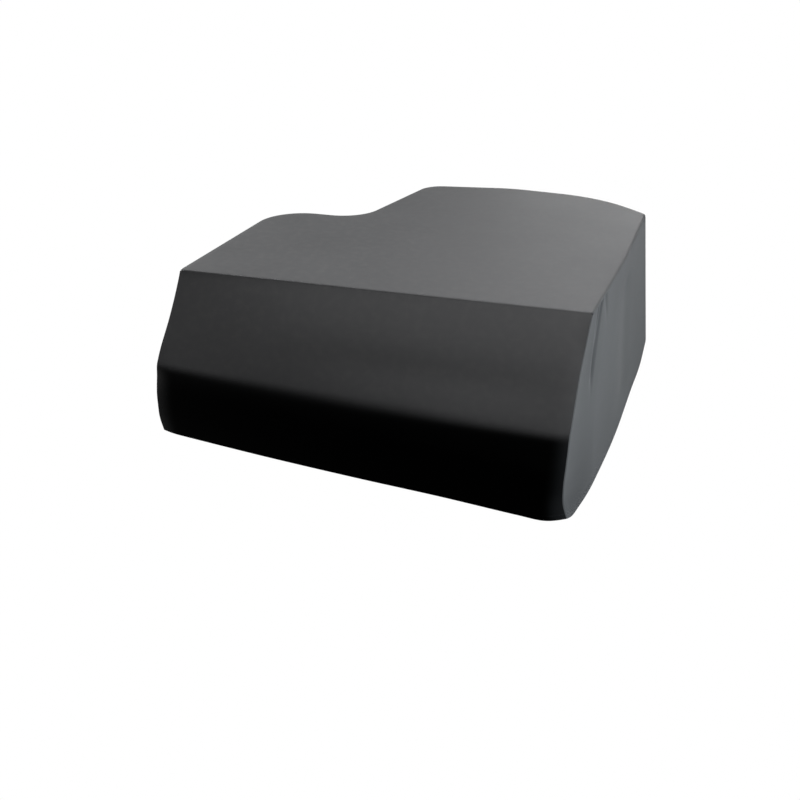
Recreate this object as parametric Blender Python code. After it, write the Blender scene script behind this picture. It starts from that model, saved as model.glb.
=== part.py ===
"""Fitted dust cover for a grand piano, in the shape in which it hangs over the closed instrument.

Four panels of one cloth are sewn into an open-bottomed cover: a flat top cut to the lid, a front that slopes
out over the key shelf and drops in front of it, a straight side along the spine, and one long curved side
that runs round the tail, the bend and the cheek. The piano inside is not modelled: the cover is hollow.

Metres. X runs along the keyboard edge, Y from the keyboard towards the tail, Z up. The origin is on the
underside of the top, on the centre line, where the lid carries the cloth.
"""

from collections import namedtuple

import bpy
import numpy as np

# Cloth
SHEET = 0.002              # thickness of every panel
SEAM_GAP = 0.0005          # between the edges of two panels that are sewn together
CLOTH_COLOUR = (0.006, 0.006, 0.0065, 1.0)
CLOTH_ROUGHNESS = 0.55

# Outline of the lid, measured from the middle of its keyboard edge
FRONT_TO_ORIGIN = 0.62       # from the keyboard edge back to the origin
EDGE_RADIUS = 0.008          # the top turns down over the lid's edge on this radius
EDGE_FALL = 0.002            # straight cloth between that turn and the seam
FRONT_TURN = np.radians(50)  # how far the top turns down along the keyboard edge
SIDE_TURN = np.radians(90)   # and along the other edges

Corner = namedtuple("Corner", "x y radius facet")  # facet = longest on the run that leads to the corner
LID_CORNERS = (
    Corner(-0.745, 0.000, 0.009, 0.110),   # front left
    Corner(0.750, 0.000, 0.009, 0.100),    # front right
    Corner(0.763, 0.600, 6.000, 0.030),    # the spine bows out a little
    Corner(0.749, 1.208, 0.025, 0.080),    # tail corner of the spine
    Corner(0.535, 1.395, 0.550, 0.075),    # shoulder of the tail
    Corner(0.145, 1.430, 0.500, 0.075),    # end of the tail
    Corner(-0.214, 1.365, 0.105, 0.075),   # where the tail turns into the bend
    Corner(-0.340, 0.815, 0.150, 0.075),   # hollow of the bend
    Corner(-0.695, 0.820, 0.180, 0.075),   # back of the cheek
)
FRONT_LEFT, FRONT_RIGHT, TAIL_CORNER = 0, 1, 3
CHEEK_LENGTH = 0.64          # straight side from the keyboard edge to the back of the cheek

# Sections through the front, from the lid's edge, beside its left and its right seam
Section = namedtuple("Section", "out drop radius")
LEFT_SECTION = (
    Section(0.000, 0.000, 0.0),     # edge of the top
    Section(0.250, 0.272, 0.035),   # knee over the front of the key shelf
    Section(0.266, 0.400, 0.300),   # fullest point
    Section(0.188, 0.556, 0.0),     # hem, drawn back under
)
RIGHT_SECTION = (                   # the knee hangs lower and softer here
    Section(0.000, 0.000, 0.0),
    Section(0.267, 0.342, 0.050),
    Section(0.277, 0.480, 0.300),
    Section(0.250, 0.640, 0.0),
)
# fullness = how far the slope stands outside a straight line, hollow = depth of the dip that runs along it
# above the knee, at a distance from the centre line
Slope = namedtuple("Slope", "at fullness hollow")
SLOPE = (
    Slope(-0.742, -0.004, 0.0000),
    Slope(-0.600, 0.002, 0.0000),
    Slope(-0.300, 0.011, 0.0010),
    Slope(0.100, 0.009, 0.0040),
    Slope(0.500, 0.004, 0.0035),
    Slope(0.750, 0.005, 0.0015),
)
HOLLOW_AT = 0.66                    # share of the slope where that dip is deepest
HOLLOW_WIDTH = 0.17
KNEE_SAG = 0.009                    # the knee hangs this much lower half way along
EDGE_STEP = (0.005, 0.000)          # the cloth falls this far inside that line just below the top
EDGE_STEP_DROP = 0.008
SEAM_ROUND = 0.010                  # the front recedes this far towards each side seam
SEAM_ROUND_COLUMNS = (0.020, 0.040, 0.065)   # facets from the seam to where it has stopped receding
SEAM_ROUND_FROM = (0.38, 0.00)      # share of the drop where that begins, left and right
SEAM_ROUND_RISE = 0.20              # and over which it grows
CORNER_CURL = 0.012                 # the right end of the hem curls back by this much more
CORNER_CURL_WIDTH = 0.100
CORNER_CURL_BAND = 0.20             # over this lowest share of the drop

# How far inside the side of the lid the front seams run
SeamPoint = namedtuple("SeamPoint", "at inset")   # at = share of the drop
LEFT_SEAM = (
    SeamPoint(0.00, 0.002),
    SeamPoint(0.12, 0.0065),
    SeamPoint(0.25, 0.009),
    SeamPoint(0.40, 0.008),
    SeamPoint(0.52, 0.010),
    SeamPoint(0.60, 0.008),
    SeamPoint(0.68, 0.004),
    SeamPoint(0.78, -0.001),
    SeamPoint(0.90, -0.0115),
    SeamPoint(1.00, -0.0145),
)
RIGHT_SEAM = (
    SeamPoint(0.00, 0.001),
    SeamPoint(0.12, 0.006),
    SeamPoint(0.25, 0.0105),
    SeamPoint(0.52, 0.012),
    SeamPoint(0.68, 0.017),
    SeamPoint(0.80, 0.0225),
    SeamPoint(0.92, 0.0225),
    SeamPoint(1.00, 0.011),
)
PINCH_REACH = 0.30                  # the panels are drawn in over this length beside a front seam

# How far the skirt hangs below the lid, and how far its hem stands out
Station = namedtuple("Station", "at drop flare")
FRONT_HEM = (                # at = distance from the centre line
    Station(-0.742, 0.556, 0.0),
    Station(-0.490, 0.581, 0.0),
    Station(0.000, 0.618, 0.0),
    Station(0.300, 0.636, 0.0),
    Station(0.580, 0.657, 0.0),
    Station(0.670, 0.662, 0.0),
    Station(0.750, 0.652, 0.0),
)
SPINE_HEM = (                # at = share of the way from the keyboard edge to the tail corner
    Station(0.00, 0.652, 0.000),
    Station(0.05, 0.677, 0.002),
    Station(0.12, 0.685, 0.005),
    Station(0.30, 0.683, 0.012),
    Station(0.50, 0.664, 0.020),
    Station(0.75, 0.621, 0.030),
    Station(0.90, 0.590, 0.038),
    Station(1.00, 0.538, 0.040),
)
CURVED_HEM = (               # at = share of the way from the tail corner round to the keyboard edge
    Station(0.00, 0.538, 0.040),
    Station(0.05, 0.571, 0.039),
    Station(0.20, 0.578, 0.034),
    Station(0.42, 0.586, 0.022),
    Station(0.62, 0.582, 0.014),
    Station(0.80, 0.572, 0.012),
    Station(1.00, 0.556, 0.000),
)

# Soft troughs of the spine side, mostly below the seam near the keyboard corner
TROUGH_RISE = 0.06           # a trough deepens over this height, from its top down
TROUGH_END = 0.12            # and fades over this one
Trough = namedtuple("Trough", "behind lean half_width depth top bottom")
SPINE_TROUGHS = (            # behind = from the keyboard edge, lean = forward for each metre down
    Trough(0.165, 0.550, 0.025, 0.005, -0.060, 0.300),
    Trough(0.222, -0.300, 0.025, 0.003, -0.060, 0.150),
    Trough(0.660, 0.060, 0.110, 0.004, 0.060, 0.600),
)
# Loose flutes of the curved side, deepest at the hem
FLUTE_GROWTH = 1.5           # power of the share of the drop with which a flute opens
Flute = namedtuple("Flute", "at half_width depth")
CURVED_FLUTES = (            # at = share of the way from the tail corner to the keyboard edge
    Flute(0.10, 0.035, 0.007),
    Flute(0.24, 0.040, -0.006),
    Flute(0.37, 0.030, 0.009),
    Flute(0.50, 0.035, -0.008),
    Flute(0.63, 0.030, 0.010),
    Flute(0.74, 0.030, -0.006),
    Flute(0.86, 0.040, 0.006),
)

# Facets
ARC_STEP = np.radians(15)    # most that one facet turns in plan
SLOPE_SHARES = (0.05, 0.20, 0.40, 0.60, 0.80)   # rows of the slope, closer below the edge of the top
BEND_FACETS = (8, 3)         # down the knee and round the fullest point
FALL_FACETS = (1, 2)         # from the knee to the fullest point, and from there to the hem
TOP_RINGS = 5                # rings between the middle of the top and its edge
EDGE_RINGS = 3               # facets across the turned edge
TOP_MIDDLE = np.array((0.05, 0.64))
TAIL_SEAM_SHARE = 0.85       # the spine side's last facet keeps this share, so that it clears the curved side


def corner_arc(before, corner, after, facets=None, begin=0.0, end=1.0):
    """The arc that rounds a corner and touches both its sides, or a share of it.

    Gives points on the arc, and the unit normals there that point to the right of the way it is walked.
    Without a number of facets, each turns by ARC_STEP at most.
    """
    tip = np.array(corner[:2])
    to_before = np.array(before[:2]) - tip
    to_after = np.array(after[:2]) - tip
    to_before /= np.linalg.norm(to_before)
    to_after /= np.linalg.norm(to_after)
    half = np.arccos(np.clip(to_before @ to_after, -1.0, 1.0)) / 2
    inward = to_before + to_after
    centre = tip + inward / np.linalg.norm(inward) * corner.radius / np.sin(half)
    first = tip + to_before * corner.radius / np.tan(half) - centre
    last = tip + to_after * corner.radius / np.tan(half) - centre
    start = np.arctan2(first[1], first[0])
    turn = (np.arctan2(last[1], last[0]) - start + np.pi) % (2 * np.pi) - np.pi
    facets = facets or int(np.ceil(abs(turn) * (end - begin) / ARC_STEP))
    angles = start + turn * np.linspace(begin, end, facets + 1)
    spokes = np.stack((np.cos(angles), np.sin(angles)), axis=1)
    return centre + corner.radius * spokes, spokes * np.sign(turn)


def run_points(start, end, shares):
    """Points on a straight run, at shares of its length."""
    return start + np.array(shares)[:, None] * (end - start)


def even_shares(facets):
    """Shares that divide a run into equal facets, without its two ends."""
    return np.linspace(0.0, 1.0, facets + 1)[1:-1]


def lid_stretch(first, last):
    """The lid's outline from the middle of one rounded corner to the middle of a later one, anticlockwise.

    The normals of the first and last half corner are those of the straight run beside them.
    """
    count = len(LID_CORNERS)
    points = []
    normals = []
    for index in range(first, last + 1):
        before, corner, after = (LID_CORNERS[(index + step) % count] for step in (-1, 0, 1))
        begin = 0.5 if index == first else 0.0
        end = 0.5 if index == last else 1.0
        arc, out = corner_arc(before, corner, after, begin=begin, end=end)
        if points:
            facets = int(np.ceil(np.linalg.norm(arc[0] - points[-1][-1]) / corner.facet))
            run = run_points(points[-1][-1], arc[0], even_shares(facets))
            points.append(run)
            normals.append(np.tile(out[0], (len(run), 1)))
        points.append(arc)
        normals.append(out)
    return np.concatenate(points), np.concatenate(normals)


def plain_ends(normals, at_start, at_end):
    """Normals of a stretch, with those of its half corners swapped for those of the run beside them."""
    plain = normals.copy()
    half_corner = int(np.ceil(np.pi / 4 / ARC_STEP)) + 1
    if at_start:
        plain[:half_corner] = plain[half_corner]
    if at_end:
        plain[-half_corner:] = plain[-half_corner - 1]
    return plain


def section_rows(section, step):
    """Rows of a section of the front from the lid's edge to the hem: how far out, and how far down.

    The slope falls inside its line by the step just below the edge. The third value is the share of the
    slope's drop, 1 from the knee on.
    """
    edge, hem = (np.array((point[:2],)) for point in (section[0], section[-1]))
    knee, belly = (
        corner_arc(*section[index : index + 3], facets)[0] for index, facets in enumerate(BEND_FACETS)
    )
    points = np.concatenate((
        edge,
        run_points(edge[0], knee[0], SLOPE_SHARES),
        knee,
        run_points(knee[-1], belly[0], even_shares(FALL_FACETS[0])),
        belly,
        run_points(belly[-1], hem[0], even_shares(FALL_FACETS[1])),
        hem,
    ))
    out, drop = points.T
    share = np.clip(drop / section[1].drop, 0.0, 1.0)
    return out - step * (1 - np.exp(-drop / EDGE_STEP_DROP)) * (1 - share), drop, share


def smooth_step(value):
    """0 up to 0, 1 from 1 on, and an even S between."""
    value = np.clip(value, 0.0, 1.0)
    return value * value * (3 - 2 * value)


def along(stations, column, where):
    """One column of a table of stations, read as a smooth curve through them."""
    at = np.array([station.at for station in stations])
    value = np.array([getattr(station, column) for station in stations])
    slope = np.gradient(value, at)
    index = np.clip(np.searchsorted(at, where) - 1, 0, len(at) - 2)
    width = at[index + 1] - at[index]
    share = (where - at[index]) / width
    rise = smooth_step(share)
    leaving = share * (1 - share) ** 2 * slope[index] * width
    arriving = share**2 * (1 - share) * slope[index + 1] * width
    return value[index] * (1 - rise) + value[index + 1] * rise + leaving - arriving


def walked_share(points):
    """Share of a stretch's length that has been walked at each of its points."""
    steps = np.linalg.norm(np.diff(points, axis=0), axis=1)
    length = np.concatenate(((0.0,), np.cumsum(steps)))
    return length / length[-1]


def seam_inset(seam, share):
    """How far inside the side of the lid a front seam runs, at a share of its drop."""
    return along(seam, "inset", share)


def top_rings():
    """Rings from near the middle of the lid to its edge, over the edge, and down to the seam."""
    stretches = (
        lid_stretch(FRONT_LEFT, FRONT_RIGHT),
        lid_stretch(FRONT_RIGHT, TAIL_CORNER),
        lid_stretch(TAIL_CORNER, len(LID_CORNERS)),
    )
    edge = np.concatenate([points[:-1] for points, _ in stretches])
    out = np.concatenate([normals[:-1] for _, normals in stretches])
    turn = np.full(len(edge), SIDE_TURN)
    turn[: len(stretches[0][0])] = FRONT_TURN
    flat = edge - EDGE_RADIUS * out
    rings = []
    for ring in range(1, TOP_RINGS + 1):
        plan = TOP_MIDDLE + (flat - TOP_MIDDLE) * ring / TOP_RINGS
        rings.append(np.column_stack((plan, np.zeros(len(plan)))))
    for ring in range(1, EDGE_RINGS + 1):
        angle = turn * ring / EDGE_RINGS
        plan = flat + EDGE_RADIUS * np.sin(angle)[:, None] * out
        rings.append(np.column_stack((plan, -EDGE_RADIUS * (1 - np.cos(angle)))))
    fall = np.column_stack((np.cos(turn)[:, None] * out, -np.sin(turn)))
    rings.append(rings[-1] + EDGE_FALL * fall)
    return np.array(rings)


def front_rows():
    """The front: its left section changed evenly into the right one, and drawn in towards the side seams.

    The slope is bowed by fullness x sin(pi x share) and dipped by a bell curve above the knee, and the knee
    sags by 4 x share across x (1 - share across) x KNEE_SAG.
    """
    edge, _ = lid_stretch(FRONT_LEFT, FRONT_RIGHT)
    x = np.clip(edge[:, 0], edge[0, 0] + SHEET + SEAM_GAP, edge[-1, 0] - SHEET - SEAM_GAP)
    columns = np.array(SEAM_ROUND_COLUMNS)
    x = np.unique(np.concatenate((x, x[0] + columns, x[-1] - columns)))
    corner_cut = np.interp(x, edge[:, 0], edge[:, 1])
    share = (x - edge[0, 0]) / (edge[-1, 0] - edge[0, 0])
    ends = (section_rows(*end) for end in zip((LEFT_SECTION, RIGHT_SECTION), EDGE_STEP))
    out, drop, slope = (
        at_left[:, None] * (1 - share) + at_right[:, None] * share for at_left, at_right in zip(*ends)
    )
    out += along(SLOPE, "fullness", x) * np.sin(np.pi * slope)
    out -= along(SLOPE, "hollow", x) * np.exp(-(((slope - HOLLOW_AT) / HOLLOW_WIDTH) ** 2)) * (slope < 1)
    hem = along(FRONT_HEM, "drop", x)
    down = drop + smooth_step(2 * drop / drop[-1] - 1) * (hem - drop[-1])
    down += KNEE_SAG * 4 * share * (1 - share) * np.sin(np.pi * drop / drop[-1])
    first = EDGE_FALL + SEAM_GAP
    below = EDGE_RADIUS * (1 - np.cos(FRONT_TURN)) + first * np.sin(FRONT_TURN) + corner_cut
    down += below * (1 - down / hem)
    inset = np.where(share > 0.5, -seam_inset(RIGHT_SEAM, down / hem), seam_inset(LEFT_SEAM, down / hem))
    from_end = np.minimum(x - x[0], x[-1] - x)
    recede = SEAM_ROUND * np.clip(1 - from_end / SEAM_ROUND_COLUMNS[-1], 0.0, 1.0) ** 2
    begin = np.where(share > 0.5, SEAM_ROUND_FROM[1], SEAM_ROUND_FROM[0])
    recede = recede * smooth_step((down / hem - begin) / SEAM_ROUND_RISE)
    curl = CORNER_CURL * np.clip(1 - (x[-1] - x) / CORNER_CURL_WIDTH, 0.0, 1.0) ** 2
    recede += curl * smooth_step((down / hem - 1 + CORNER_CURL_BAND) / CORNER_CURL_BAND)
    behind = EDGE_RADIUS * (1 - np.sin(FRONT_TURN)) - first * np.cos(FRONT_TURN)
    y = corner_cut + behind - out + recede
    return np.stack((x + inset * smooth_step(1 - from_end / PINCH_REACH), y, -down), axis=-1)


def side_rows(edge, normals, hem, insets, seam, reach, nose):
    """A side: rows that follow the lid's outline, and reach forward to the outer face of the front.

    seam is the column at the front seam, insets its table, reach the share of the way forward that each
    column goes, and nose the end column of the front's outer face. Its rows lie level with the front's.
    """
    at = walked_share(edge)
    length = np.linalg.norm(np.diff(edge, axis=0), axis=1).sum()
    first = EDGE_RADIUS + EDGE_FALL + SEAM_GAP
    drop = along(hem, "drop", at)
    share = (nose[:, 2] / nose[-1, 2])[:, None]
    share = (share - share[0]) / (1 - share[0])
    down = first + share * (drop - first)
    near_seam = smooth_step(1 - length * np.abs(at - at[seam]) / PINCH_REACH)
    share = down / drop
    out = along(hem, "flare", at) * share - near_seam * seam_inset(insets, share)
    plan = edge + normals * out[..., None]
    front_y = np.interp(down[:, seam], -nose[:, 2], nose[:, 1])
    plan[..., 1] += reach * (front_y - plan[:, seam, 1])[:, None]
    return np.concatenate((plan, -down[..., None]), axis=-1)


def flute_reach(at, share):
    """How far the flutes of the curved side stand out."""
    waves = [flute.depth * np.exp(-(((at - flute.at) / flute.half_width) ** 2)) for flute in CURVED_FLUTES]
    return sum(waves) * share**FLUTE_GROWTH


def trough_depth(y, down):
    """How deep the troughs of the spine side are at a height and a distance behind the keyboard edge."""
    depth = 0.0
    for trough in SPINE_TROUGHS:
        across = (y - trough.behind + trough.lean * down) / trough.half_width
        rise = smooth_step((down - trough.top) / TROUGH_RISE)
        fade = smooth_step((trough.bottom - down) / TROUGH_END)
        depth = depth + trough.depth * np.exp(-(across**2)) * rise * fade
    return depth


def spine_rows(front):
    """The straight side, from the front seam to the tail corner."""
    edge, normals = lid_stretch(FRONT_RIGHT, TAIL_CORNER)
    normals = plain_ends(normals, True, False)
    for values in (edge, normals):
        values[-1] = TAIL_SEAM_SHARE * values[-1] + (1 - TAIL_SEAM_SHARE) * values[-2]
    reach = 1 - walked_share(edge)
    rows = side_rows(edge, normals, SPINE_HEM, RIGHT_SEAM, 0, reach, front[:, -1])
    rows[..., 0] -= trough_depth(rows[..., 1], -rows[..., 2])
    return rows


def curved_rows(front):
    """The curved side, from the tail corner round the tail, the bend and the cheek to the front seam."""
    edge, normals = lid_stretch(TAIL_CORNER, len(LID_CORNERS))
    normals = plain_ends(normals, False, True)
    reach = np.clip(1 - edge[:, 1] / CHEEK_LENGTH, 0.0, 1.0)
    rows = side_rows(edge, normals, CURVED_HEM, LEFT_SEAM, -1, reach, front[:, 0])
    share = rows[..., 2] / rows[-1, :, 2]
    rows[..., :2] += normals * flute_reach(walked_share(edge), share)[..., None]
    return rows


def cloth_material(name):
    """Smooth black satin-faced cloth."""
    material = bpy.data.materials.new(name)
    material.use_nodes = True
    shader = material.node_tree.nodes["Principled BSDF"]
    shader.inputs["Base Color"].default_value = CLOTH_COLOUR
    shader.inputs["Roughness"].default_value = CLOTH_ROUGHNESS
    shader.inputs["Metallic"].default_value = 0.0
    return material


def panel(name, rows, ring=False):
    """A sheet of cloth from rows of points on its outer face. A ring's rows close, round a middle point."""
    count, width = rows.shape[:2]
    points = (rows + (0.0, -FRONT_TO_ORIGIN, SHEET)).reshape(-1, 3)
    cells = width if ring else width - 1
    row, column = (
        index.ravel() for index in np.meshgrid(np.arange(count - 1), np.arange(cells), indexing="ij")
    )
    across = (column + 1) % width
    faces = np.stack((
        row * width + column,
        (row + 1) * width + column,
        (row + 1) * width + across,
        row * width + across,
    ), axis=1).tolist()
    if ring:
        middle = len(points)
        points = np.concatenate((points, ((*TOP_MIDDLE - (0.0, FRONT_TO_ORIGIN), SHEET),)))
        faces += [(middle, near, (near + 1) % width) for near in range(width)]
    mesh = bpy.data.meshes.new(name)
    mesh.from_pydata(points.tolist(), [], faces)
    mesh.materials.append(cloth_material(name + "_cloth"))
    mesh.shade_smooth()
    thing = bpy.data.objects.new(name, mesh)
    bpy.context.scene.collection.objects.link(thing)
    solidify = thing.modifiers.new("thickness", "SOLIDIFY")
    solidify.thickness = SHEET
    solidify.offset = -1.0
    solidify.use_even_offset = True
    return thing


for thing in list(bpy.data.objects):
    bpy.data.objects.remove(thing, do_unlink=True)

front = front_rows()
panel("top_panel", top_rings(), ring=True)
panel("front_panel", front)
panel("spine_panel", spine_rows(front))
panel("curved_side_panel", curved_rows(front))
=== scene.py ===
"""Looks of a fitted black dust cover for a grand piano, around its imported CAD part.

Four panels of one satin-faced cloth: a flat top cut to the lid, a front that slopes out over the key shelf
and drops in front of it, a straight side along the spine, and one long side round the tail, the bend and the
cheek.

Metres, in the part's own frame: X runs to the right along the keyboard edge, Y towards the tail, Z up, and
the underside of the top lies at height 0. Plans of the lid count Y from the keyboard edge.
"""

from collections import namedtuple

import bpy
import numpy as np
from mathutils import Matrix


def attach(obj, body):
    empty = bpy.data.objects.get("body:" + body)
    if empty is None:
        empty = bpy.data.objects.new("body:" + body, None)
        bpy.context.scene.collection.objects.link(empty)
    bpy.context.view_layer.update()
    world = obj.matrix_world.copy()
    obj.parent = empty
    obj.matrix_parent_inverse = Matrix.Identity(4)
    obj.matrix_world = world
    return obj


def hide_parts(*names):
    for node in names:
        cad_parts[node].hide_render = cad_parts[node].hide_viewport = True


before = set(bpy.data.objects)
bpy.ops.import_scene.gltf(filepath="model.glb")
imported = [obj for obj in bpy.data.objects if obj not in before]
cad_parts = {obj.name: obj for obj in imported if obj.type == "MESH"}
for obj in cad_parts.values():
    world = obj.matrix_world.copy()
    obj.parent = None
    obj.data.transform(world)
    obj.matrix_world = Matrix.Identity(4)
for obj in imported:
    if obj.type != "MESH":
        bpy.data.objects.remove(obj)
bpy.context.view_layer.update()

# Camera ---------------------------------------------------------------------------------------------------
# It stands in front of the keyboard, to the right of the cover, and looks down on it from above head height.

CAMERA_PLACE = (1.419, -4.878, 1.581)
CAMERA_TURN = 17.40          # degrees to the left of straight ahead
CAMERA_DIP = 23.93           # degrees below level
CAMERA_LENS = 62.16          # mm
SENSOR_WIDTH = 36.0          # mm
CAMERA_RANGE = 200.0         # far enough for the whole floor

camera = bpy.data.objects.new("camera", bpy.data.cameras.new("camera"))
bpy.context.scene.collection.objects.link(camera)
camera.location = CAMERA_PLACE
camera.rotation_euler = np.radians((90 - CAMERA_DIP, 0, CAMERA_TURN))
camera.data.lens = CAMERA_LENS
camera.data.sensor_width = SENSOR_WIDTH
camera.data.clip_end = CAMERA_RANGE
bpy.context.scene.camera = camera

# Floor and studio light -----------------------------------------------------------------------------------
# A wide white floor at the foot of a piano, and nine soft boxes: four narrow ones overhead, which also rake
# the slope of the front, a wide one on the left, one behind, and three low ones that reach the sides and
# their front corners. None stands in front, so that the drop below the knee stays black.

LID_ABOVE_FLOOR = 1.02
FLOOR_SIZE = 160.0
WHITE_SEEN = 1.0             # floor and backdrop as the camera sees them
WHITE_GIVEN = 0.012          # light that they give back to the cloth

bpy.context.scene.view_settings.view_transform = "Standard"


def add_node(tree, kind, values=None, links=None, **settings):
    """Adds one node: settings are its properties, values its unlinked inputs, links its linked ones."""
    node = tree.nodes.new(kind)
    for name, value in settings.items():
        setattr(node, name, value)
    for name, value in (values or {}).items():
        node.inputs[name].default_value = value
    for name, socket in (links or {}).items():
        tree.links.new(socket, node.inputs[name])
    return node


def white_surround(tree, kind, output):
    """A plain white that the camera sees at WHITE_SEEN, and that lights other things at WHITE_GIVEN."""
    tree.nodes.clear()
    path = add_node(tree, "ShaderNodeLightPath")
    level = add_node(
        tree,
        "ShaderNodeMapRange",
        {"To Min": WHITE_GIVEN, "To Max": WHITE_SEEN},
        {"Value": path.outputs["Is Camera Ray"]},
    )
    white = add_node(tree, kind, {"Color": (1, 1, 1, 1)}, {"Strength": level.outputs["Result"]})
    add_node(tree, output, links={"Surface": white.outputs[0]})


floor_mesh = bpy.data.meshes.new("floor")
reach = FLOOR_SIZE / 2
floor_mesh.from_pydata(
    [(x * reach, y * reach, -LID_ABOVE_FLOOR) for x, y in ((-1, -1), (1, -1), (1, 1), (-1, 1))],
    [],
    [(0, 1, 2, 3)],
)
floor_material = bpy.data.materials.new("white_floor")
floor_material.use_nodes = True
white_surround(floor_material.node_tree, "ShaderNodeEmission", "ShaderNodeOutputMaterial")
floor_mesh.materials.append(floor_material)
floor = bpy.data.objects.new("floor", floor_mesh)
bpy.context.scene.collection.objects.link(floor)

world = bpy.data.worlds.new("studio")
world.use_nodes = True
white_surround(world.node_tree, "ShaderNodeBackground", "ShaderNodeOutputWorld")
bpy.context.scene.world = world

SoftBox = namedtuple("SoftBox", "name place aim width height watts colour")
NEUTRAL = (1.0, 1.0, 1.0)
FAINTLY_COOL = (0.98, 1.0, 1.02)
COOL = (0.90, 1.0, 1.06)     # the two low boxes on the right lean to blue, which cools the spine side
SOFT_BOXES = (
    SoftBox("overhead_left", (-0.20, -0.25, 2.20), (-0.16, -0.25, 0.0), 0.8, 0.3, 70, NEUTRAL),
    SoftBox("overhead_back", (-0.20, 0.50, 2.20), (-0.16, 0.50, 0.0), 0.8, 0.3, 20, NEUTRAL),
    SoftBox("overhead_middle", (0.80, -0.60, 2.20), (0.64, -0.60, 0.0), 0.8, 0.3, 82, NEUTRAL),
    SoftBox("overhead_right", (1.80, -0.25, 2.20), (1.44, -0.25, 0.0), 0.8, 0.3, 197, FAINTLY_COOL),
    SoftBox("right_low_box", (1.70, -0.80, -0.45), (0.76, -0.70, -0.35), 0.25, 0.3, 18, COOL),
    SoftBox("left_low_box", (-1.70, -0.85, -0.30), (-0.74, -0.85, -0.35), 0.25, 0.3, 6, NEUTRAL),
    SoftBox("right_back_box", (2.60, 0.90, -0.50), (0.76, 0.45, -0.3), 0.4, 0.5, 26, COOL),
    SoftBox("left_box", (-3.20, 0.50, 0.60), (-0.70, 0.10, -0.3), 1.8, 1.4, 230, NEUTRAL),
    SoftBox("back_box", (0.30, 3.60, 0.90), (0.10, 0.80, -0.2), 1.2, 1.0, 50, NEUTRAL),
)

for box in SOFT_BOXES:
    light = bpy.data.lights.new(box.name, "AREA")
    light.shape = "RECTANGLE"
    light.size = box.width
    light.size_y = box.height
    light.energy = box.watts
    light.color = box.colour
    lamp = bpy.data.objects.new(box.name, light)
    bpy.context.scene.collection.objects.link(lamp)
    towards = np.array(box.aim) - np.array(box.place)
    towards /= np.linalg.norm(towards)
    lamp.location = box.place
    lamp.rotation_euler = (np.arccos(-towards[2]), 0.0, np.arctan2(-towards[0], towards[1]))
    lamp.visible_camera = False

# Top ------------------------------------------------------------------------------------------------------
# Lies flat on the closed lid, cut to its outline: straight along the keyboard and the spine, round at the
# tail, hollow at the bend. Black satin-faced cloth, turned down over the lid's edge to the side seams.

FRONT_TO_ORIGIN = 0.62       # from the keyboard edge of the lid back to the origin
TOP_SURFACE = 0.002          # height of the top's outer face
CLOTH_THICKNESS = 0.0015
EDGE_RADIUS = 0.008          # turn over the lid's edge
EDGE_FALL = 0.002            # straight cloth from that turn to the seam
FRONT_EDGE_TURN = 50.0       # degrees that the edge turns down along the keyboard
SIDE_EDGE_TURN = 90.0        # and along the other sides
OUTLINE_STEP = 0.007         # between points along the outline
TOP_RINGS = 34               # from the middle out to the turn over the edge
RING_CROWDING = 0.8          # power below 1 that sets the rings closer together towards the outline
EDGE_RINGS = 8               # over the turn
TOP_MIDDLE = np.array((0.05, 0.64))

Corner = namedtuple("Corner", "x y radius")
LID_CORNERS = (
    Corner(-0.745, 0.000, 0.013),   # front left
    Corner(0.750, 0.000, 0.013),    # front right
    Corner(0.763, 0.600, 6.000),    # the spine bows out a little
    Corner(0.749, 1.208, 0.028),    # tail corner of the spine
    Corner(0.535, 1.395, 0.550),    # shoulder of the tail
    Corner(0.145, 1.430, 0.500),    # end of the tail
    Corner(-0.214, 1.365, 0.105),   # where the tail turns into the bend
    Corner(-0.340, 0.815, 0.150),   # hollow of the bend
    Corner(-0.695, 0.820, 0.180),   # back of the cheek
)
FRONT_LEFT, FRONT_RIGHT, TAIL_CORNER = 0, 1, 3


def corner_arc(before, corner, after, begin=0.0, end=1.0, points=17):
    """The arc of the corner's radius that touches both of its sides, as points and outward normals.

    The centre lies on the bisector at radius / sin(half the angle between the sides), and the arc starts and
    ends where the sides touch it. begin and end give the share of the arc that is walked. The outline is
    walked with its outside on the right.
    """
    tip = np.array(corner[:2])
    sides = np.array((before[:2], after[:2])) - tip
    sides /= np.linalg.norm(sides, axis=1)[:, None]
    half = np.arccos(np.clip(sides[0] @ sides[1], -1.0, 1.0)) / 2
    inward = sides.sum(axis=0)
    centre = tip + inward / np.linalg.norm(inward) * corner.radius / np.sin(half)
    spokes = tip + sides * corner.radius / np.tan(half) - centre
    start, stop = np.arctan2(spokes[:, 1], spokes[:, 0])
    turn = (stop - start + np.pi) % (2 * np.pi) - np.pi
    angles = start + turn * np.linspace(begin, end, points)
    spokes = np.stack((np.cos(angles), np.sin(angles)), axis=1)
    return centre + corner.radius * spokes, spokes * np.sign(turn)


def lid_stretch(first, last):
    """The lid's outline from the middle of one corner to the middle of a later one, at even steps.

    Straight runs and corner arcs are joined in order, then read again by the length walked.
    """
    arcs = [
        corner_arc(
            *(LID_CORNERS[(index + step) % len(LID_CORNERS)] for step in (-1, 0, 1)),
            begin=0.5 if index == first else 0.0,
            end=0.5 if index == last else 1.0,
        )
        for index in range(first, last + 1)
    ]
    points, normals = (np.concatenate(values) for values in zip(*arcs))
    walked = np.concatenate(((0.0,), np.cumsum(np.linalg.norm(np.diff(points, axis=0), axis=1))))
    steps = np.linspace(0.0, walked[-1], int(np.ceil(walked[-1] / OUTLINE_STEP)) + 1)
    points, normals = (
        np.stack([np.interp(steps, walked, values[:, axis]) for axis in (0, 1)], axis=1)
        for values in (points, normals)
    )
    return points, normals / np.linalg.norm(normals, axis=1)[:, None]


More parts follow.
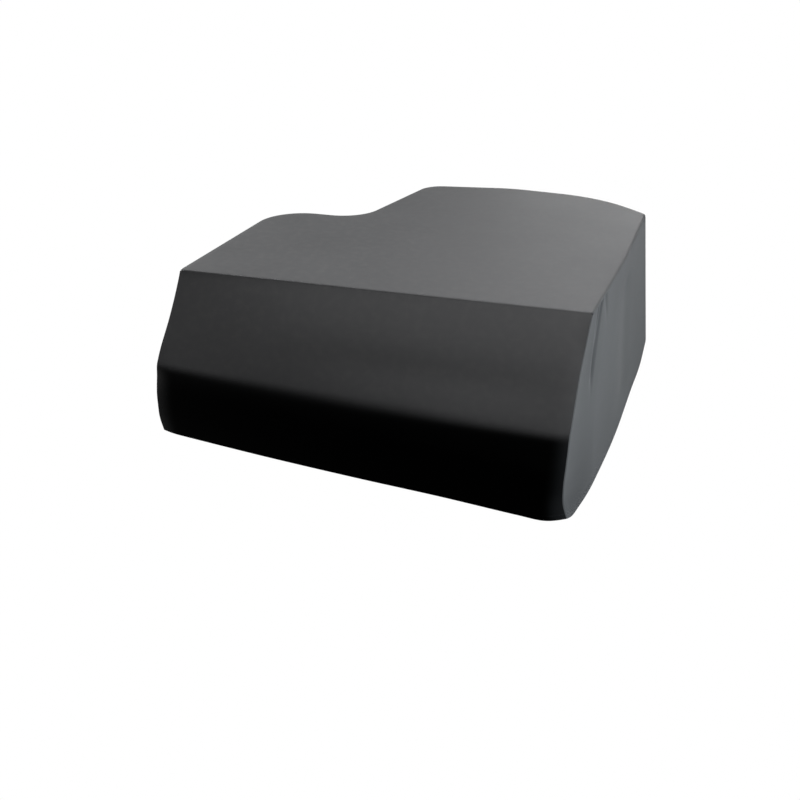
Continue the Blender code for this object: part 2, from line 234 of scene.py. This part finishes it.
def smooth_step(value):
    """0 up to 0, 1 from 1 on, and an even S between."""
    value = np.clip(value, 0.0, 1.0)
    return value * value * (3 - 2 * value)


def top_surface():
    """Rings round the lid's middle, scaled out to its outline, then an arc over the edge and a short fall.

    The arc's angle grows evenly to FRONT_EDGE_TURN along the keyboard and to SIDE_EDGE_TURN elsewhere, and a
    point on it lies EDGE_RADIUS x sin(angle) out and EDGE_RADIUS x (1 - cos(angle)) down.
    """
    bounds = (FRONT_LEFT, FRONT_RIGHT, TAIL_CORNER, len(LID_CORNERS))
    stretches = [lid_stretch(first, last) for first, last in zip(bounds, bounds[1:])]
    edge, out = (np.concatenate([stretch[part][:-1] for stretch in stretches]) for part in (0, 1))
    turn = np.radians(np.where(np.arange(len(edge)) < len(stretches[0][0]), FRONT_EDGE_TURN, SIDE_EDGE_TURN))
    flat = edge - EDGE_RADIUS * out
    share = np.linspace(0.0, 1.0, TOP_RINGS + 1)[1:, None, None] ** RING_CROWDING
    plan = TOP_MIDDLE + (flat - TOP_MIDDLE) * share
    rings = [np.concatenate((plan, np.zeros((*plan.shape[:2], 1))), axis=2)]
    angle = turn * np.linspace(0.0, 1.0, EDGE_RINGS + 1)[1:, None]
    plan = flat + EDGE_RADIUS * np.sin(angle)[..., None] * out
    rings.append(np.concatenate((plan, -EDGE_RADIUS * (1 - np.cos(angle))[..., None]), axis=2))
    fall = np.concatenate((np.cos(turn)[:, None] * out, -np.sin(turn)[:, None]), axis=1)
    rings.append((rings[-1][-1] + EDGE_FALL * fall)[None])
    return np.concatenate(rings)


def write_cut_edges(mesh, count, width, ring):
    """Marks the cut edges sharp: the last row and, but for a ring, the first row and both end columns.

    The face then shades evenly up to them, though the cloth's thickness turns round them.
    """
    rim = np.zeros(len(mesh.vertices), dtype=bool)
    grid = rim[: count * width].reshape(count, width)
    grid[-1] = True
    if not ring:
        grid[0] = True
        grid[:, (0, -1)] = True
    edges = np.empty(2 * len(mesh.edges), dtype=np.int32)
    mesh.edges.foreach_get("vertices", edges)
    cut = mesh.attributes.new("sharp_edge", "BOOLEAN", "EDGE")
    cut.data.foreach_set("value", rim[edges.reshape(-1, 2)].all(axis=1))


def write_hem_lengths(mesh, rows):
    """Attributes for the stitches: metres of cloth from a point down to the last row, and along that row."""
    below = np.cumsum(np.linalg.norm(np.diff(rows[::-1], axis=0), axis=2), axis=0)[::-1]
    to_hem = np.concatenate((below, np.zeros((1, rows.shape[1])))).ravel()
    beside = np.concatenate(((0.0,), np.cumsum(np.linalg.norm(np.diff(rows[-1], axis=0), axis=1))))
    for attribute, values in (("to_hem", to_hem), ("along_hem", np.tile(beside, len(rows)))):
        values = np.pad(values, (0, len(mesh.vertices) - len(values)), mode="edge").astype(np.float32)
        mesh.attributes.new(attribute, "FLOAT", "POINT").data.foreach_set("value", values)


def cloth_mesh(name, rows, uv, ring=False):
    """A sheet from a grid of points on its outer face, moved into the part's frame, with its cloth map.

    The map is in metres of cloth. A ring's rows close on themselves, and its first row closes on the middle.
    Every four neighbours in the grid make a face, and the cloth's thickness lies inside it.
    """
    count, width = rows.shape[:2]
    points = (rows + (0.0, -FRONT_TO_ORIGIN, TOP_SURFACE)).reshape(-1, 3)
    cells = np.meshgrid(np.arange(count - 1), np.arange(width if ring else width - 1), indexing="ij")
    row, column = (index.ravel() for index in cells)
    across = (column + 1) % width
    above, below = row * width, (row + 1) * width
    faces = np.stack((above + column, below + column, below + across, above + across), axis=1).tolist()
    uv = uv.reshape(-1, 2)
    if ring:
        middle = len(points)
        points = np.concatenate((points, ((TOP_MIDDLE[0], TOP_MIDDLE[1] - FRONT_TO_ORIGIN, TOP_SURFACE),)))
        uv = np.concatenate((uv, TOP_MIDDLE[None]))
        faces += [(middle, near, (near + 1) % width) for near in range(width)]
    mesh = bpy.data.meshes.new(name)
    mesh.from_pydata(points.tolist(), [], faces)
    corners = np.empty(len(mesh.loops), dtype=np.int32)
    mesh.loops.foreach_get("vertex_index", corners)
    mesh.uv_layers.new(name="cloth").data.foreach_set("uv", uv[corners].astype(np.float32).ravel())
    write_hem_lengths(mesh, rows)
    mesh.shade_smooth()
    write_cut_edges(mesh, count, width, ring)
    thing = bpy.data.objects.new(name, mesh)
    bpy.context.scene.collection.objects.link(thing)
    solidify = thing.modifiers.new("thickness", "SOLIDIFY")
    solidify.thickness = CLOTH_THICKNESS
    solidify.offset = -1.0
    return thing


DYE_DARK = "#111112"
DYE_LIGHT = "#131314"
TONE_SIZE = 0.33             # metres over which the dye and the finish drift
TONE_RANGE = (0.35, 0.65)    # of the noise, between the dark and the light dye
ROUGHNESS = (0.64, 0.76)     # where the finish is closest, and where it is most open
NAP_TINT = "#f4f6f8"
DUST_COLOUR = "#5a5853"
DUST_SIZE = 0.03
DUST_RANGE = (0.45, 0.80)    # of the noise, from bare cloth to the thickest dust
DUST_SHARE = 0.04            # of the face that dust covers where it lies thickest
THREAD_COLOUR = "#1b1b1d"
STITCH_LENGTH = 0.0045       # real stitches are 3 mm of 0.4 mm thread, drawn longer and thicker to show
STITCH_FILL = 0.7            # share of its length that a stitch shows on the face
STITCH_WIDTH = 0.0012
TOP_STITCH_LINE = 0.006      # the seam round the top is stitched down this far above it
HEM_WIDTH = 0.020            # the hem is turned up by this much and stitched
HEM_HEIGHT = 0.0004          # the turned cloth stands out by this much
HEM_FADE = 0.002             # and does so over this width
SLACK_SIZE = 0.22            # from one slack place to the next
SLACK_HEIGHT = 0.0006
FLOAT_PITCH = 0.0024         # the real floats are 0.3 mm apart, drawn eight times as coarse to show
FLOAT_HEIGHT = 0.00003
WAVE_TURN = 20               # radians that the wave node turns through in one unit at scale 1


def linear(colour):
    """An sRGB hex colour as the linear RGBA that a socket takes."""
    value = np.array([int(colour[place : place + 2], 16) for place in (1, 3, 5)]) / 255
    value = np.where(value <= 0.04045, value / 12.92, ((value + 0.055) / 1.055) ** 2.4)
    return (*value.tolist(), 1.0)


def dyed_cloth(tree, cloth):
    """Colour and roughness of the plain face, which drift a little with the dye and the finish."""
    tone = add_node(tree, "ShaderNodeTexNoise", {"Scale": 1 / TONE_SIZE, "Detail": 3.0}, {"Vector": cloth})
    dye = add_node(tree, "ShaderNodeValToRGB", links={"Fac": tone.outputs["Fac"]})
    for stop, position, colour in zip(dye.color_ramp.elements, TONE_RANGE, (DYE_DARK, DYE_LIGHT)):
        stop.position = position
        stop.color = linear(colour)
    finish = add_node(
        tree,
        "ShaderNodeMapRange",
        {"To Min": ROUGHNESS[0], "To Max": ROUGHNESS[1]},
        {"Value": tone.outputs["Fac"]},
    )
    return dye.outputs["Color"], finish.outputs["Result"]


def mixed(tree, share, colour, over):
    """A colour with a share of a plain one laid over it."""
    mix = add_node(tree, "ShaderNodeMix", data_type="RGBA")
    mix.inputs["B"].default_value = linear(over)
    tree.links.new(share, mix.inputs["Factor"])
    tree.links.new(colour, mix.inputs["A"])
    return mix.outputs["Result"]


def dusted(tree, cloth, colour):
    """The colour under a trace of dust, in specks that thicken with how far the face looks up."""
    normal = add_node(tree, "ShaderNodeNewGeometry").outputs["Normal"]
    upward = add_node(tree, "ShaderNodeSeparateXYZ", links={"Vector": normal}).outputs["Z"]
    noise = add_node(tree, "ShaderNodeTexNoise", {"Scale": 1 / DUST_SIZE, "Detail": 6.0}, {"Vector": cloth})
    specks = add_node(
        tree,
        "ShaderNodeMapRange",
        {"From Min": DUST_RANGE[0], "From Max": DUST_RANGE[1], "To Max": DUST_SHARE},
        {"Value": noise.outputs["Fac"]},
    )
    cover = add_node(
        tree,
        "ShaderNodeMath",
        links={0: upward, 1: specks.outputs["Result"]},
        operation="MULTIPLY",
        use_clamp=True,
    )
    return mixed(tree, cover.outputs["Value"], colour, DUST_COLOUR)


def thread_line(tree, to_hem, stitch_line):
    """Two masks: the seam's line, STITCH_WIDTH wide and stitch_line above the edge, and its stitches only."""
    along_hem = add_node(tree, "ShaderNodeAttribute", attribute_name="along_hem").outputs["Fac"]
    line = add_node(
        tree,
        "ShaderNodeMath",
        {1: stitch_line, 2: STITCH_WIDTH / 2},
        {0: to_hem},
        operation="COMPARE",
    )
    place = add_node(tree, "ShaderNodeMath", {1: STITCH_LENGTH}, {0: along_hem}, operation="FLOORED_MODULO")
    dash = add_node(
        tree,
        "ShaderNodeMath",
        {1: STITCH_LENGTH * STITCH_FILL},
        {0: place.outputs["Value"]},
        operation="LESS_THAN",
    )
    stitches = add_node(
        tree,
        "ShaderNodeMath",
        links={0: line.outputs["Value"], 1: dash.outputs["Value"]},
        operation="MULTIPLY",
    )
    return line.outputs["Value"], stitches.outputs["Value"]


def cloth_relief(tree, cloth, to_hem, line, stitch_line):
    """Relief of the face: its slack, the weave's floats, and the doubled hem with its stitched groove."""
    slack = add_node(tree, "ShaderNodeTexNoise", {"Scale": 1 / SLACK_SIZE, "Detail": 1.0}, {"Vector": cloth})
    pitch_scale = 2 * np.pi / WAVE_TURN / FLOAT_PITCH
    floats = add_node(
        tree,
        "ShaderNodeTexWave",
        {"Scale": pitch_scale, "Distortion": 1.5, "Detail": 1.0, "Detail Scale": 1.0},
        {"Vector": cloth},
        bands_direction="DIAGONAL",
    )
    doubled = add_node(
        tree,
        "ShaderNodeMapRange",
        {"From Min": stitch_line, "From Max": stitch_line + HEM_FADE, "To Min": 1.0, "To Max": 0.0},
        {"Value": to_hem},
    )
    hem = add_node(
        tree,
        "ShaderNodeMath",
        links={0: doubled.outputs["Result"], 1: line},
        operation="SUBTRACT",
    )
    layers = (
        (slack.outputs["Fac"], SLACK_HEIGHT),
        (floats.outputs["Fac"], FLOAT_HEIGHT),
        (hem.outputs["Value"], HEM_HEIGHT),
    )
    under = {}
    for height, distance in layers:
        bump = add_node(
            tree,
            "ShaderNodeBump",
            {"Strength": 1.0, "Distance": distance},
            {"Height": height, **under},
        )
        under = {"Normal": bump.outputs["Normal"]}
    return under["Normal"]


def satin_cloth(name, stitch_line):
    """Black satin-faced polyester, woven with long floats, and stitched along its edge.

    The floats lie flat and close, so the face is smooth and dark seen straight on, and the fine nap on it
    catches light at a glancing angle, which greys the top and the spine side. Slack in the cloth makes the
    light drift a little over it, a trace of dust dulls what faces up, and the hem shows as a row of thread.
    """
    material = bpy.data.materials.new(name)
    material.use_nodes = True
    tree = material.node_tree
    shader = tree.nodes["Principled BSDF"]
    shader.inputs["Metallic"].default_value = 0.0
    shader.inputs["IOR"].default_value = 1.46
    shader.inputs["Specular IOR Level"].default_value = 0.25
    shader.inputs["Sheen Weight"].default_value = 0.10
    shader.inputs["Sheen Roughness"].default_value = 0.35
    shader.inputs["Sheen Tint"].default_value = linear(NAP_TINT)
    cloth = add_node(tree, "ShaderNodeUVMap", uv_map="cloth").outputs["UV"]
    to_hem = add_node(tree, "ShaderNodeAttribute", attribute_name="to_hem").outputs["Fac"]
    colour, roughness = dyed_cloth(tree, cloth)
    line, stitches = thread_line(tree, to_hem, stitch_line)
    stitched = mixed(tree, stitches, dusted(tree, cloth, colour), THREAD_COLOUR)
    tree.links.new(stitched, shader.inputs["Base Color"])
    tree.links.new(roughness, shader.inputs["Roughness"])
    tree.links.new(cloth_relief(tree, cloth, to_hem, line, stitch_line), shader.inputs["Normal"])
    return material


top_rows = top_surface()
top = cloth_mesh("cover_top", top_rows, top_rows[..., :2], ring=True)
top.data.materials.append(satin_cloth("black_satin_top", TOP_STITCH_LINE))
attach(top, "root")
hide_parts("top_panel")

# Front ----------------------------------------------------------------------------------------------------
# One width of the same cloth, sewn to the keyboard edge of the top. It slopes out over the closed key shelf,
# turns over the shelf's front in a soft knee, fills out, and is drawn back to its hem. Deeper on the right.

Section = namedtuple("Section", "out drop radius")
LEFT_SECTION = (               # at the left front seam, from the edge of the top
    Section(0.000, 0.000, 0.0),
    Section(0.250, 0.272, 0.035),   # knee over the front of the key shelf
    Section(0.266, 0.400, 0.300),   # fullest point
    Section(0.188, 0.556, 0.0),     # hem, drawn back under
)
RIGHT_SECTION = (              # at the right front seam, where the knee hangs lower and softer
    Section(0.000, 0.000, 0.0),
    Section(0.267, 0.342, 0.050),
    Section(0.277, 0.480, 0.300),
    Section(0.250, 0.640, 0.0),
)
# Across the slope: at = distance from the centre line, fullness = how far the slope stands outside a
# straight line, hollow = depth of the dip that runs along above the knee.
Slope = namedtuple("Slope", "at fullness hollow")
SLOPE = (
    Slope(-0.742, -0.004, 0.0000),
    Slope(-0.600, 0.002, 0.0000),
    Slope(-0.300, 0.011, 0.0010),
    Slope(0.100, 0.009, 0.0040),
    Slope(0.500, 0.004, 0.0035),
    Slope(0.750, 0.005, 0.0015),
)
HOLLOW_AT = 0.66             # share of the slope where that dip is deepest
HOLLOW_WIDTH = 0.17          # share of the slope over which it fades, to each side
KNEE_SAG = 0.009             # the knee hangs this much lower half way along
EDGE_STEP = (0.002, 0.000)   # the cloth falls this far inside the slope just below the top, left and right
EDGE_STEP_DROP = 0.008       # and does so over about this drop
FRONT_COLUMNS = 230
SECTION_ROWS = 110
SECTION_SOFTENING = 0.008    # metres of cloth over which a change of bend is spread
SEAM_ROUND = 0.010           # the front recedes this far towards each side seam
SEAM_ROUND_WIDTH = 0.065     # over this width
SEAM_ROUND_FROM = (0.38, 0.00)   # share of the drop where that begins, left and right
SEAM_ROUND_RISE = 0.20       # and over which it grows
CORNER_CURL = 0.012          # the right end of the hem curls back by this much more
CORNER_CURL_WIDTH = 0.100
CORNER_CURL_BAND = 0.20      # over this lowest share of the drop
PINCH_REACH = 0.30           # the panels are drawn in over this length beside a front seam
SEAM_GAP = 0.0004            # between the edges of two panels that are sewn together

SeamPoint = namedtuple("SeamPoint", "at inset")
LEFT_SEAM = (                # at = share of the drop, inset = how far inside the lid's side the seam runs
    SeamPoint(0.00, 0.002),
    SeamPoint(0.12, 0.0065),
    SeamPoint(0.25, 0.009),
    SeamPoint(0.40, 0.008),
    SeamPoint(0.52, 0.010),
    SeamPoint(0.60, 0.008),
    SeamPoint(0.68, 0.004),
    SeamPoint(0.78, -0.001),
    SeamPoint(0.90, -0.0115),
    SeamPoint(1.00, -0.0145),
)
RIGHT_SEAM = (
    SeamPoint(0.00, 0.001),
    SeamPoint(0.12, 0.006),
    SeamPoint(0.25, 0.0105),
    SeamPoint(0.52, 0.012),
    SeamPoint(0.68, 0.017),
    SeamPoint(0.80, 0.0225),
    SeamPoint(0.92, 0.0225),
    SeamPoint(1.00, 0.011),
)

Station = namedtuple("Station", "at drop flare")
FRONT_HEM = (                # at = distance from the centre line
    Station(-0.742, 0.556, 0.0),
    Station(-0.490, 0.581, 0.0),
    Station(0.000, 0.618, 0.0),
    Station(0.300, 0.636, 0.0),
    Station(0.580, 0.657, 0.0),
    Station(0.670, 0.662, 0.0),
    Station(0.750, 0.652, 0.0),
)
SPINE_HEM = (                # at = share of the way from the keyboard edge to the tail corner
    Station(0.00, 0.652, 0.000),
    Station(0.05, 0.677, 0.002),
    Station(0.12, 0.685, 0.005),
    Station(0.30, 0.683, 0.012),
    Station(0.50, 0.664, 0.020),
    Station(0.75, 0.621, 0.030),
    Station(0.90, 0.590, 0.038),
    Station(1.00, 0.538, 0.040),
)
CURVED_HEM = (               # at = share of the way from the tail corner round to the keyboard edge
    Station(0.00, 0.538, 0.040),
    Station(0.05, 0.571, 0.039),
    Station(0.20, 0.578, 0.034),
    Station(0.42, 0.586, 0.022),
    Station(0.62, 0.582, 0.014),
    Station(0.80, 0.572, 0.012),
    Station(1.00, 0.556, 0.000),
)


def along(stations, column, where):
    """One column of a table of stations, read as a smooth curve through them (a cubic between each two)."""
    at = np.array([station.at for station in stations])
    value = np.array([getattr(station, column) for station in stations])
    slope = np.gradient(value, at)
    index = np.clip(np.searchsorted(at, where) - 1, 0, len(at) - 2)
    width = at[index + 1] - at[index]
    share = (where - at[index]) / width
    rise = smooth_step(share)
    leaving = share * (1 - share) ** 2 * slope[index] * width
    arriving = share**2 * (1 - share) * slope[index + 1] * width
    return value[index] * (1 - rise) + value[index + 1] * rise + leaving - arriving


def section_rows(section, step):
    """A section of the front from the lid's edge to the hem, as out and drop at even steps of cloth.

    Straight lines and arcs, with the slope stepped in below the edge by step x (1 - share) x
    (1 - exp(-drop / EDGE_STEP_DROP)), then averaged under a bell curve SECTION_SOFTENING wide, so that every
    bend starts gently. share, the third value, is that of the slope's drop, and is 1 from the knee on.
    """
    arcs = [corner_arc(*three)[0] for three in zip(section, section[1:], section[2:])]
    points = np.concatenate(([section[0][:2]], *arcs, [section[-1][:2]]))
    walked = np.concatenate(((0.0,), np.cumsum(np.linalg.norm(np.diff(points, axis=0), axis=1))))
    steps = np.linspace(0.0, walked[-1], SECTION_ROWS)
    out, drop = (np.interp(steps, walked, points[:, axis]) for axis in (0, 1))
    share = np.clip(drop / section[1].drop, 0.0, 1.0)
    out = out - step * (1 - np.exp(-drop / EDGE_STEP_DROP)) * (1 - share)
    reach = int(round(2 * SECTION_SOFTENING / steps[1]))
    weights = np.exp(-0.5 * (np.arange(-reach, reach + 1) * steps[1] / SECTION_SOFTENING) ** 2)
    softened = []
    for values in (out, drop, share):
        ends = (2 * values[0] - values[reach:0:-1], values, 2 * values[-1] - values[-2 : -reach - 2 : -1])
        softened.append(np.convolve(np.concatenate(ends), weights / weights.sum(), mode="valid"))
    return softened


def front_surface():
    """The left section changed evenly into the right one, then drawn in towards the side seams.

    The slope is bowed by fullness x sin(pi x share) and dipped by a bell curve above the knee, the knee sags
    by 4 x share across x (1 - share across) x KNEE_SAG, and the drop is stretched to end on the hem. Beside a
    seam the face recedes, and the right end of the hem curls back, by the square of their nearness.
    """
    left, right = LID_CORNERS[FRONT_LEFT].x, LID_CORNERS[FRONT_RIGHT].x
    x = np.linspace(left + CLOTH_THICKNESS, right - CLOTH_THICKNESS, FRONT_COLUMNS)
    share = ((x - left) / (right - left))[None]
    ends = (section_rows(*end) for end in zip((LEFT_SECTION, RIGHT_SECTION), EDGE_STEP))
    out, drop, slope = (near[:, None] * (1 - share) + far[:, None] * share for near, far in zip(*ends))
    out += along(SLOPE, "fullness", x) * np.sin(np.pi * slope)
    out -= along(SLOPE, "hollow", x) * np.exp(-(((slope - HOLLOW_AT) / HOLLOW_WIDTH) ** 2)) * (slope < 1)
    hem = along(FRONT_HEM, "drop", x)
    down = drop + smooth_step(2 * drop / drop[-1] - 1) * (hem - drop[-1])
    down += KNEE_SAG * 4 * share * (1 - share) * np.sin(np.pi * drop / drop[-1])
    turn = np.radians(FRONT_EDGE_TURN)
    seam = EDGE_FALL + SEAM_GAP
    down += (EDGE_RADIUS * (1 - np.cos(turn)) + seam * np.sin(turn)) * (1 - down / hem)
    fall = down / hem
    inset = np.where(share > 0.5, -along(RIGHT_SEAM, "inset", fall), along(LEFT_SEAM, "inset", fall))
    from_end = np.minimum(x - x[0], x[-1] - x)
    begin = np.where(share > 0.5, SEAM_ROUND_FROM[1], SEAM_ROUND_FROM[0])
    recede = SEAM_ROUND * np.clip(1 - from_end / SEAM_ROUND_WIDTH, 0.0, 1.0) ** 2
    recede = recede * smooth_step((fall - begin) / SEAM_ROUND_RISE)
    curl = CORNER_CURL * np.clip(1 - (x[-1] - x) / CORNER_CURL_WIDTH, 0.0, 1.0) ** 2
    recede += curl * smooth_step((fall - 1 + CORNER_CURL_BAND) / CORNER_CURL_BAND)
    y = EDGE_RADIUS * (1 - np.sin(turn)) - seam * np.cos(turn) - out + recede
    return np.stack((x + inset * smooth_step(1 - from_end / PINCH_REACH), y, -down), axis=-1)


def cloth_lengths(rows):
    """Metres of cloth along each row and down each column, which unrolls a surface onto its cloth map."""
    across = np.linalg.norm(np.diff(rows, axis=1), axis=2).mean(axis=0)
    down = np.linalg.norm(np.diff(rows, axis=0), axis=2).mean(axis=1)
    across, down = (np.concatenate(((0.0,), np.cumsum(steps))) for steps in (across, down))
    return np.stack(np.meshgrid(across, down), axis=-1)


front_rows = front_surface()
front = cloth_mesh("cover_front", front_rows, cloth_lengths(front_rows))
front.data.materials.append(satin_cloth("black_satin_front", HEM_WIDTH))
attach(front, "root")
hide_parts("front_panel")

# Spine side -----------------------------------------------------------------------------------------------
# The straight side of the cover. Its front edge is cut to the front's section and sewn to it. Three soft
# creases run down beside the keyboard corner, where the cloth is drawn over the lid's point, and one broad,
# shallow trough hangs further back.

Trough = namedtuple("Trough", "behind lean half_width depth top bottom")
SPINE_TROUGHS = (            # behind = from the keyboard edge, lean = metres forward for each metre down
    Trough(0.165, 0.550, 0.017, 0.005, -0.060, 0.300),
    Trough(0.110, 0.300, 0.012, 0.003, -0.030, 0.340),
    Trough(0.222, -0.300, 0.018, 0.003, -0.060, 0.150),
    Trough(0.660, 0.060, 0.110, 0.004, 0.060, 0.600),
)
TROUGH_RISE = 0.06           # a trough deepens over this height, from its top down
TROUGH_END = 0.12            # and fades over this one
SIDE_ROWS = 96
HALF_CORNER_POINTS = 3       # of the outline, on the half corner beside a front seam


def side_surface(edge, normals, hem, insets, seam, reach, nose):
    """A side of the skirt: rows that follow the lid's outline and reach forward to the face of the front.

    A point is the outline + its normal x (flare x share of the drop - the seam's inset, which fades over
    PINCH_REACH), and lies forward by reach x the distance from the seam's column to the front's end column,
    nose. seam is the column at the front seam, insets its table, and reach is 1 there and falls to 0.
    """
    steps = np.linalg.norm(np.diff(edge, axis=0), axis=1)
    walked = np.concatenate(((0.0,), np.cumsum(steps)))
    at = walked / walked[-1]
    first = EDGE_RADIUS + EDGE_FALL + SEAM_GAP
    drop = along(hem, "drop", at)
    down = first + np.linspace(0.0, 1.0, SIDE_ROWS)[:, None] * (drop - first)
    near_seam = smooth_step(1 - np.abs(walked - walked[seam]) / PINCH_REACH)
    out = along(hem, "flare", at) * down / drop - near_seam * along(insets, "inset", down / drop)
    plan = edge + normals * out[..., None]
    front_y = np.interp(down[:, seam], -nose[:, 2], nose[:, 1])
    plan[..., 1] += reach * (front_y - plan[:, seam, 1])[:, None]
    return np.concatenate((plan, -down[..., None]), axis=-1)


def straight_corner(normals):
    """Normals with those of the half corner beside a front seam set to that of the run that follows."""
    normals = normals.copy()
    normals[:HALF_CORNER_POINTS] = normals[HALF_CORNER_POINTS]
    return normals


def spine_surface():
    """The straight side, with its troughs pressed in.

    A trough is depth x exp(-(distance from its line / half_width) squared), faded at its top and bottom.
    """
    edge, normals = lid_stretch(FRONT_RIGHT, TAIL_CORNER)
    at = np.linspace(0.0, 1.0, len(edge))
    normals = straight_corner(normals)
    rows = side_surface(edge, normals, SPINE_HEM, RIGHT_SEAM, 0, 1 - at, front_rows[:, -1])
    y, down = rows[..., 1], -rows[..., 2]
    for trough in SPINE_TROUGHS:
        across = (y - trough.behind + trough.lean * down) / trough.half_width
        begin = smooth_step((down - trough.top) / TROUGH_RISE)
        end = smooth_step((trough.bottom - down) / TROUGH_END)
        rows[..., 0] -= trough.depth * np.exp(-(across**2)) * (begin * end)
    return rows


spine_rows = spine_surface()
spine = cloth_mesh("cover_spine_side", spine_rows, cloth_lengths(spine_rows))
spine.data.materials.append(satin_cloth("black_satin_spine", HEM_WIDTH))
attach(spine, "root")
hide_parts("spine_panel")

# Curved side ----------------------------------------------------------------------------------------------
# One long strip round the tail, the bend and the cheek. It hangs free of the case below the lid, so it
# stands out in loose flutes that open towards the hem.

Flute = namedtuple("Flute", "at half_width depth")
CURVED_FLUTES = (            # at = share of the way from the tail corner to the keyboard edge
    Flute(0.10, 0.035, 0.007),
    Flute(0.24, 0.040, -0.006),
    Flute(0.37, 0.030, 0.009),
    Flute(0.50, 0.035, -0.008),
    Flute(0.63, 0.030, 0.010),
    Flute(0.74, 0.030, -0.006),
    Flute(0.86, 0.040, 0.006),
)
FLUTE_GROWTH = 1.5           # power of the share of the drop with which a flute opens
CHEEK_LENGTH = 0.64          # straight side from the keyboard edge to the back of the cheek


def curved_surface():
    """The long side, with its flutes standing out along the lid's normals.

    A flute is depth x exp(-(distance along / half_width) squared) x share of the drop to FLUTE_GROWTH.
    """
    edge, normals = lid_stretch(TAIL_CORNER, len(LID_CORNERS))
    normals = straight_corner(normals[::-1])[::-1]
    reach = np.clip(1 - edge[:, 1] / CHEEK_LENGTH, 0.0, 1.0)
    rows = side_surface(edge, normals, CURVED_HEM, LEFT_SEAM, -1, reach, front_rows[:, 0])
    at = np.linspace(0.0, 1.0, len(edge))
    share = rows[..., 2] / rows[-1, :, 2]
    waves = [flute.depth * np.exp(-(((at - flute.at) / flute.half_width) ** 2)) for flute in CURVED_FLUTES]
    rows[..., :2] += normals * (sum(waves) * share**FLUTE_GROWTH)[..., None]
    return rows


curved_rows = curved_surface()
curved = cloth_mesh("cover_curved_side", curved_rows, cloth_lengths(curved_rows))
curved.data.materials.append(satin_cloth("black_satin_curved_side", HEM_WIDTH))
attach(curved, "root")
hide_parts("curved_side_panel")
